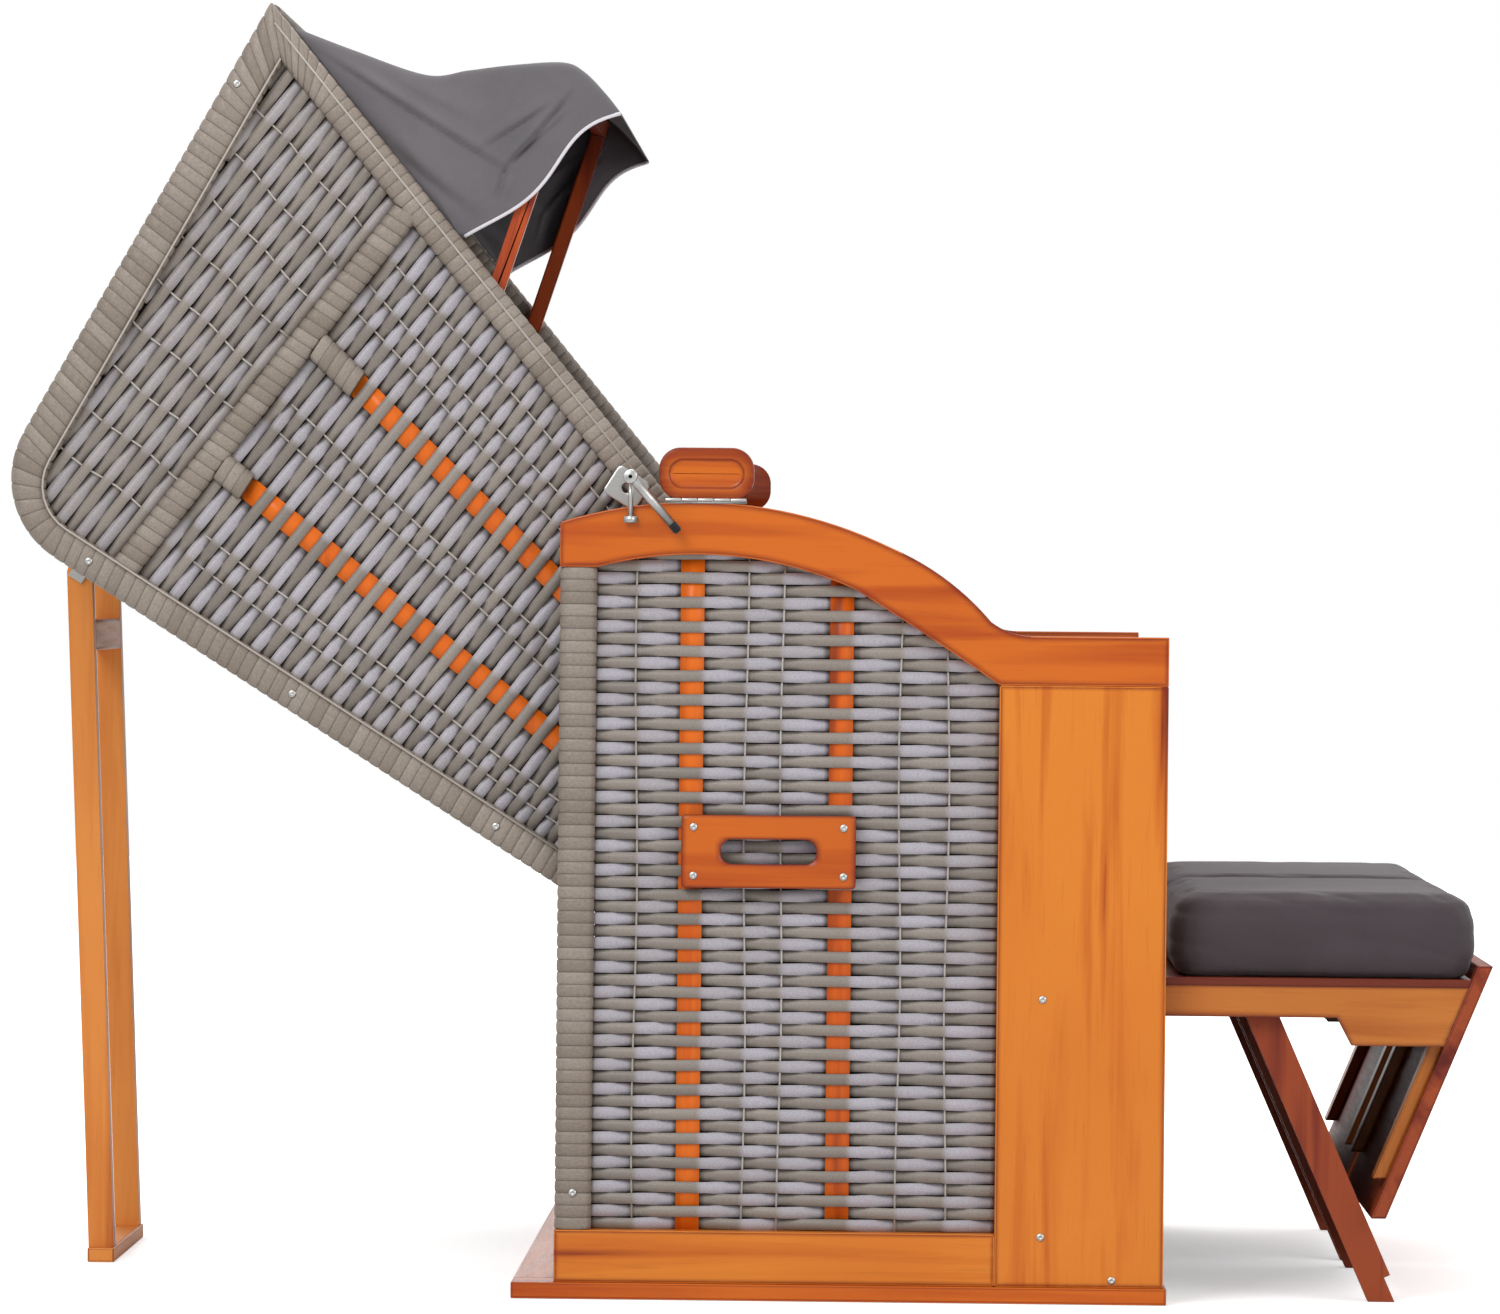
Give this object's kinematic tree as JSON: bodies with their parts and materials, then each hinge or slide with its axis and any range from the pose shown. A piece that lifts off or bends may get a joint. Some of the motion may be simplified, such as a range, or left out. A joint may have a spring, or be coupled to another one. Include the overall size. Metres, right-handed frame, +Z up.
{
  "type": "hooded beach chair",
  "caption": "Woven two-seat beach basket chair with reclining hood, folding awning, rear support leg, pull-out footrests, cushions and swing trays",
  "frame": {"origin": "on the floor, under the middle of the lower basket", "axes": "+X to the front of the chair, +Y to its left as seen by someone sitting in it, +Z up"},
  "size_m": [1.8254, 1.2538, 1.5846],
  "materials": {
    "wood_honey": "glossy honey stain",
    "wood_red": "glossy red-brown stain",
    "weave": "woven plastic strip, warm grey",
    "accent": "flat orange stake",
    "steel": "zinc-plated",
    "awning_cloth": "dark grey woven cloth with a white piped edge",
    "cushion_cloth": "dark purple-grey woven cloth"
  },
  "bodies": {
    "basket": {"skids": "wood_honey", "rear_cross_board": "wood_honey", "floor_bearer": "wood_honey", "bottom_rail_near": "wood_honey", "bottom_rail_far": "wood_honey", "rear_post_near": "weave", "rear_post_far": "weave", "front_board_near": "wood_honey", "front_board_far": "wood_honey", "armrest_near": "wood_honey", "armrest_far": "wood_honey", "side_weave_near": "weave", "side_weave_far": "weave", "handle_near": "wood_honey", "handle_far": "wood_honey", "side_stakes": "accent", "side_screws": "steel", "rear_panel": "weave", "seat_board": "wood_honey", "seat_divider": "wood_honey", "footrest_guides": "wood_honey", "seat_cushion_near": "cushion_cloth", "seat_cushion_far": "cushion_cloth", "armrest_fittings": "steel"},
    "hood": {"hood_frame_near": "weave", "hood_frame_far": "weave", "hood_weave_near": "weave", "hood_weave_far": "weave", "hood_stakes": "accent", "hood_roof": "weave", "hood_back": "weave", "back_cushion_near": "cushion_cloth", "back_cushion_far": "cushion_cloth", "hood_bolts": "steel", "hood_fittings": "steel", "leg_hinges": "steel"},
    "awning": {"awning_hoop": "wood_red", "awning_cloth": "awning_cloth"},
    "support_leg": {"leg_post_near": "wood_red", "leg_post_far": "wood_red", "leg_rail": "wood_red", "leg_foot": "wood_red"},
    "footrest_near": {"footrest_cushion_near": "cushion_cloth", "footrest_deck_near": "wood_red", "footrest_rails_near": "wood_honey", "footrest_front_near": "wood_red", "footrest_battens_near": "wood_honey"},
    "footrest_leg_near": {"footrest_leg_near": "wood_red"},
    "tray_near": {"tray_near": "wood_red"},
    "lock_near": {"lock_lever_near": "steel"},
    "footrest_far": {"footrest_cushion_far": "cushion_cloth", "footrest_deck_far": "wood_red", "footrest_rails_far": "wood_honey", "footrest_front_far": "wood_red", "footrest_battens_far": "wood_honey"},
    "footrest_leg_far": {"footrest_leg_far": "wood_red"},
    "tray_far": {"tray_far": "wood_red"},
    "lock_far": {"lock_lever_far": "steel"}
  },
  "joints": [
    {"name": "hood_recline", "type": "hinge", "parent": "basket", "child": "hood", "pos_m": [-0.2605, 0, 0.534], "axis": [0, 1, 0], "range_deg": [0, 52]},
    {"name": "leg_fold", "type": "hinge", "parent": "hood", "child": "support_leg", "pos_m": [-0.98204, 0, 0.88103], "axis": [0, 1, 0], "range_deg": [-55.6, 0]},
    {"name": "awning_fold", "type": "hinge", "parent": "hood", "child": "awning", "pos_m": [-0.43556, 0, 1.22888], "axis": [0, 1, 0], "range_deg": [-56, 0], "deforming": ["awning_cloth"]},
    {"name": "footrest_slide_near", "type": "slide", "parent": "basket", "child": "footrest_near", "axis": [1, 0, 0], "range_m": [-0.045, 0]},
    {"name": "footrest_leg_fold_near", "type": "hinge", "parent": "footrest_near", "child": "footrest_leg_near", "pos_m": [0.508, 0, 0.362], "axis": [0, 1, 0], "range_deg": [0, 113]},
    {"name": "tray_swing_near", "type": "hinge", "parent": "basket", "child": "tray_near", "pos_m": [-0.17, -0.6, 0.9765], "axis": [1, 0, 0], "range_deg": [0, 90]},
    {"name": "lock_swing_near", "type": "hinge", "parent": "basket", "child": "lock_near", "pos_m": [-0.262, 0, 1.004], "axis": [0, 1, 0], "range_deg": [-100, 0]},
    {"name": "footrest_slide_far", "type": "slide", "parent": "basket", "child": "footrest_far", "axis": [1, 0, 0], "range_m": [-0.045, 0]},
    {"name": "footrest_leg_fold_far", "type": "hinge", "parent": "footrest_far", "child": "footrest_leg_far", "pos_m": [0.508, 0, 0.362], "axis": [0, 1, 0], "range_deg": [0, 113]},
    {"name": "tray_swing_far", "type": "hinge", "parent": "basket", "child": "tray_far", "pos_m": [-0.17, 0.6, 0.9765], "axis": [-1, 0, 0], "range_deg": [0, 90]},
    {"name": "lock_swing_far", "type": "hinge", "parent": "basket", "child": "lock_far", "pos_m": [-0.262, 0, 1.004], "axis": [0, 1, 0], "range_deg": [-100, 0]}
  ],
  "couplings": [
    {"joint": "leg_fold", "follows": "hood_recline", "ratio": -1.0607}
  ]
}
